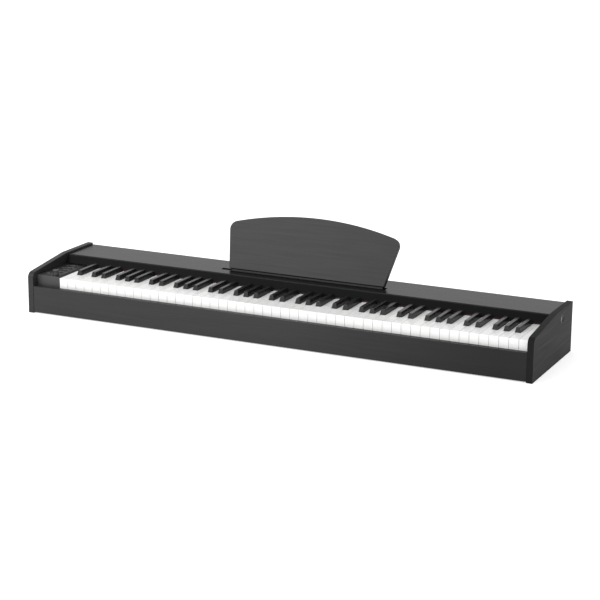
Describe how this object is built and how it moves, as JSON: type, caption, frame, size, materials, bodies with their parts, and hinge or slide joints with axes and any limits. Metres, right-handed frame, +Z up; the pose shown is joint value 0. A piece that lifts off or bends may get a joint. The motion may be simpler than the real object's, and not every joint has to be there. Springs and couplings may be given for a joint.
{
  "type": "digital piano",
  "caption": "Slab digital piano: black wood-grain cabinet, full keyboard of pressing keys, arched music rest in a slot, control block with knob and buttons, sockets behind.",
  "frame": {"origin": "centre of the cabinet's footprint, on the surface that it stands on", "axes": "+X to the treble end, -Y to the player, +Z up"},
  "size_m": [1.325, 0.287, 0.2571],
  "materials": {
    "laminate": "satin black wood-grain laminate",
    "rest_laminate": "satin black laminate",
    "board": "black faced board",
    "fallboard_paint": "matt black",
    "red_felt": "wool felt",
    "stop_felt": "wool felt",
    "white_key_plastic": "polished",
    "black_key_plastic": "fine satin",
    "housing_plastic": "fine texture",
    "plate_plastic": "satin",
    "knob_plastic": "satin",
    "button_rubber": "matt",
    "lens_plastic": "clear",
    "rubber": "matt",
    "circuit_board": "solder mask",
    "steel": "zinc plated",
    "insert_brass": "turned",
    "socket_plastic": "satin",
    "jack_nickel": "nickel",
    "basket_steel": "black",
    "magnet": "sintered",
    "cone_paper": "paper",
    "grille_steel": "black"
  },
  "bodies": {
    "cabinet": {"audio_jacks": "jack_nickel", "back_panel": "board", "bottom_board": "board", "chassis_screws": "steel", "contact_boards": "circuit_board", "contact_rubber": "rubber", "control_board": "circuit_board", "control_housing": "housing_plastic", "control_plate": "plate_plastic", "fallboard": "fallboard_paint", "front_rail": "laminate", "indicator_lenses": "lens_plastic", "key_chassis": "black_key_plastic", "key_felt": "red_felt", "left_cheek": "laminate", "main_board": "circuit_board", "pivot_rod": "steel", "power_inlet": "socket_plastic", "power_switch": "housing_plastic", "right_cheek": "laminate", "rubber_pads": "rubber", "socket_plate": "socket_plastic", "speaker_baskets": "basket_steel", "speaker_cones": "cone_paper", "speaker_grilles": "grille_steel", "speaker_magnets": "magnet", "spring_comb": "steel", "stand_inserts": "insert_brass", "stop_felt": "stop_felt", "top_panel": "laminate", "volume_pot": "steel"},
    "rest": {"music_rest": "rest_laminate"},
    "knob": {"volume_knob": "knob_plastic", "volume_shaft": "steel"},
    "power": {"power_button": "knob_plastic"},
    "button_1": {"panel_button_1": "button_rubber"},
    "button_2": {"panel_button_2": "button_rubber"},
    "button_3": {"panel_button_3": "button_rubber"},
    "button_4": {"panel_button_4": "button_rubber"},
    "c_4": {"key_c_4": "white_key_plastic"},
    "c_sharp_4": {"key_c_sharp_4": "black_key_plastic"},
    "d_4": {"key_d_4": "white_key_plastic"},
    "d_sharp_4": {"key_d_sharp_4": "black_key_plastic"},
    "e_4": {"key_e_4": "white_key_plastic"},
    "f_4": {"key_f_4": "white_key_plastic"},
    "f_sharp_4": {"key_f_sharp_4": "black_key_plastic"},
    "g_4": {"key_g_4": "white_key_plastic"},
    "g_sharp_4": {"key_g_sharp_4": "black_key_plastic"},
    "a_4": {"key_a_4": "white_key_plastic"},
    "a_sharp_4": {"key_a_sharp_4": "black_key_plastic"},
    "b_4": {"key_b_4": "white_key_plastic"},
    "keys_a0_to_b1": {"white_keys_a0_to_b1": "white_key_plastic", "black_keys_a0_to_b1": "black_key_plastic"},
    "keys_c2_to_b3": {"white_keys_c2_to_b3": "white_key_plastic", "black_keys_c2_to_b3": "black_key_plastic"},
    "keys_c5_to_b6": {"white_keys_c5_to_b6": "white_key_plastic", "black_keys_c5_to_b6": "black_key_plastic"},
    "keys_c7_to_c8": {"white_keys_c7_to_c8": "white_key_plastic", "black_keys_c7_to_c8": "black_key_plastic"}
  },
  "joints": [
    {"name": "press_c_4", "type": "hinge", "parent": "cabinet", "child": "c_4", "pos_m": [0, 0.0915, 0.076], "axis": [1, 0, 0], "range_deg": [0, 2.6], "stiffness_Nm_per_rad": 1, "springref_deg": -8.59},
    {"name": "press_c_sharp_4", "type": "hinge", "parent": "cabinet", "child": "c_sharp_4", "pos_m": [0, 0.0915, 0.076], "axis": [1, 0, 0], "range_deg": [0, 2.6], "stiffness_Nm_per_rad": 1, "springref_deg": -8.59},
    {"name": "press_d_4", "type": "hinge", "parent": "cabinet", "child": "d_4", "pos_m": [0, 0.0915, 0.076], "axis": [1, 0, 0], "range_deg": [0, 2.6], "stiffness_Nm_per_rad": 1, "springref_deg": -8.59},
    {"name": "press_d_sharp_4", "type": "hinge", "parent": "cabinet", "child": "d_sharp_4", "pos_m": [0, 0.0915, 0.076], "axis": [1, 0, 0], "range_deg": [0, 2.6], "stiffness_Nm_per_rad": 1, "springref_deg": -8.59},
    {"name": "press_e_4", "type": "hinge", "parent": "cabinet", "child": "e_4", "pos_m": [0, 0.0915, 0.076], "axis": [1, 0, 0], "range_deg": [0, 2.6], "stiffness_Nm_per_rad": 1, "springref_deg": -8.59},
    {"name": "press_f_4", "type": "hinge", "parent": "cabinet", "child": "f_4", "pos_m": [0, 0.0915, 0.076], "axis": [1, 0, 0], "range_deg": [0, 2.6], "stiffness_Nm_per_rad": 1, "springref_deg": -8.59},
    {"name": "press_f_sharp_4", "type": "hinge", "parent": "cabinet", "child": "f_sharp_4", "pos_m": [0, 0.0915, 0.076], "axis": [1, 0, 0], "range_deg": [0, 2.6], "stiffness_Nm_per_rad": 1, "springref_deg": -8.59},
    {"name": "press_g_4", "type": "hinge", "parent": "cabinet", "child": "g_4", "pos_m": [0, 0.0915, 0.076], "axis": [1, 0, 0], "range_deg": [0, 2.6], "stiffness_Nm_per_rad": 1, "springref_deg": -8.59},
    {"name": "press_g_sharp_4", "type": "hinge", "parent": "cabinet", "child": "g_sharp_4", "pos_m": [0, 0.0915, 0.076], "axis": [1, 0, 0], "range_deg": [0, 2.6], "stiffness_Nm_per_rad": 1, "springref_deg": -8.59},
    {"name": "press_a_4", "type": "hinge", "parent": "cabinet", "child": "a_4", "pos_m": [0, 0.0915, 0.076], "axis": [1, 0, 0], "range_deg": [0, 2.6], "stiffness_Nm_per_rad": 1, "springref_deg": -8.59},
    {"name": "press_a_sharp_4", "type": "hinge", "parent": "cabinet", "child": "a_sharp_4", "pos_m": [0, 0.0915, 0.076], "axis": [1, 0, 0], "range_deg": [0, 2.6], "stiffness_Nm_per_rad": 1, "springref_deg": -8.59},
    {"name": "press_b_4", "type": "hinge", "parent": "cabinet", "child": "b_4", "pos_m": [0, 0.0915, 0.076], "axis": [1, 0, 0], "range_deg": [0, 2.6], "stiffness_Nm_per_rad": 1, "springref_deg": -8.59},
    {"name": "press_a0_to_b1", "type": "hinge", "parent": "cabinet", "child": "keys_a0_to_b1", "pos_m": [0, 0.0915, 0.076], "axis": [1, 0, 0], "range_deg": [0, 2.6], "stiffness_Nm_per_rad": 15, "springref_deg": -8.59},
    {"name": "press_c2_to_b3", "type": "hinge", "parent": "cabinet", "child": "keys_c2_to_b3", "pos_m": [0, 0.0915, 0.076], "axis": [1, 0, 0], "range_deg": [0, 2.6], "stiffness_Nm_per_rad": 24, "springref_deg": -8.59},
    {"name": "press_c5_to_b6", "type": "hinge", "parent": "cabinet", "child": "keys_c5_to_b6", "pos_m": [0, 0.0915, 0.076], "axis": [1, 0, 0], "range_deg": [0, 2.6], "stiffness_Nm_per_rad": 24, "springref_deg": -8.59},
    {"name": "press_c7_to_c8", "type": "hinge", "parent": "cabinet", "child": "keys_c7_to_c8", "pos_m": [0, 0.0915, 0.076], "axis": [1, 0, 0], "range_deg": [0, 2.6], "stiffness_Nm_per_rad": 13, "springref_deg": -8.59},
    {"name": "lift_music_rest", "type": "slide", "parent": "cabinet", "child": "rest", "axis": [0, 0.4226, 0.9063], "range_m": [0, 0.03]},
    {"name": "turn_volume_knob", "type": "hinge", "parent": "cabinet", "child": "knob", "pos_m": [-0.599, -0.1125, 0.0975], "axis": [0, 0, 1], "range_deg": [-150, 150]},
    {"name": "press_button_1", "type": "slide", "parent": "cabinet", "child": "button_1", "axis": [0, 0, -1], "range_m": [0, 0.0012], "stiffness_N_per_m": 400, "springref_m": -0.0008},
    {"name": "press_button_2", "type": "slide", "parent": "cabinet", "child": "button_2", "axis": [0, 0, -1], "range_m": [0, 0.0012], "stiffness_N_per_m": 400, "springref_m": -0.0008},
    {"name": "press_button_3", "type": "slide", "parent": "cabinet", "child": "button_3", "axis": [0, 0, -1], "range_m": [0, 0.0012], "stiffness_N_per_m": 400, "springref_m": -0.0008},
    {"name": "press_button_4", "type": "slide", "parent": "cabinet", "child": "button_4", "axis": [0, 0, -1], "range_m": [0, 0.0012], "stiffness_N_per_m": 400, "springref_m": -0.0008},
    {"name": "press_power", "type": "slide", "parent": "cabinet", "child": "power", "axis": [-1, 0, 0], "range_m": [0, 0.003], "stiffness_N_per_m": 500, "springref_m": -0.0015}
  ]
}
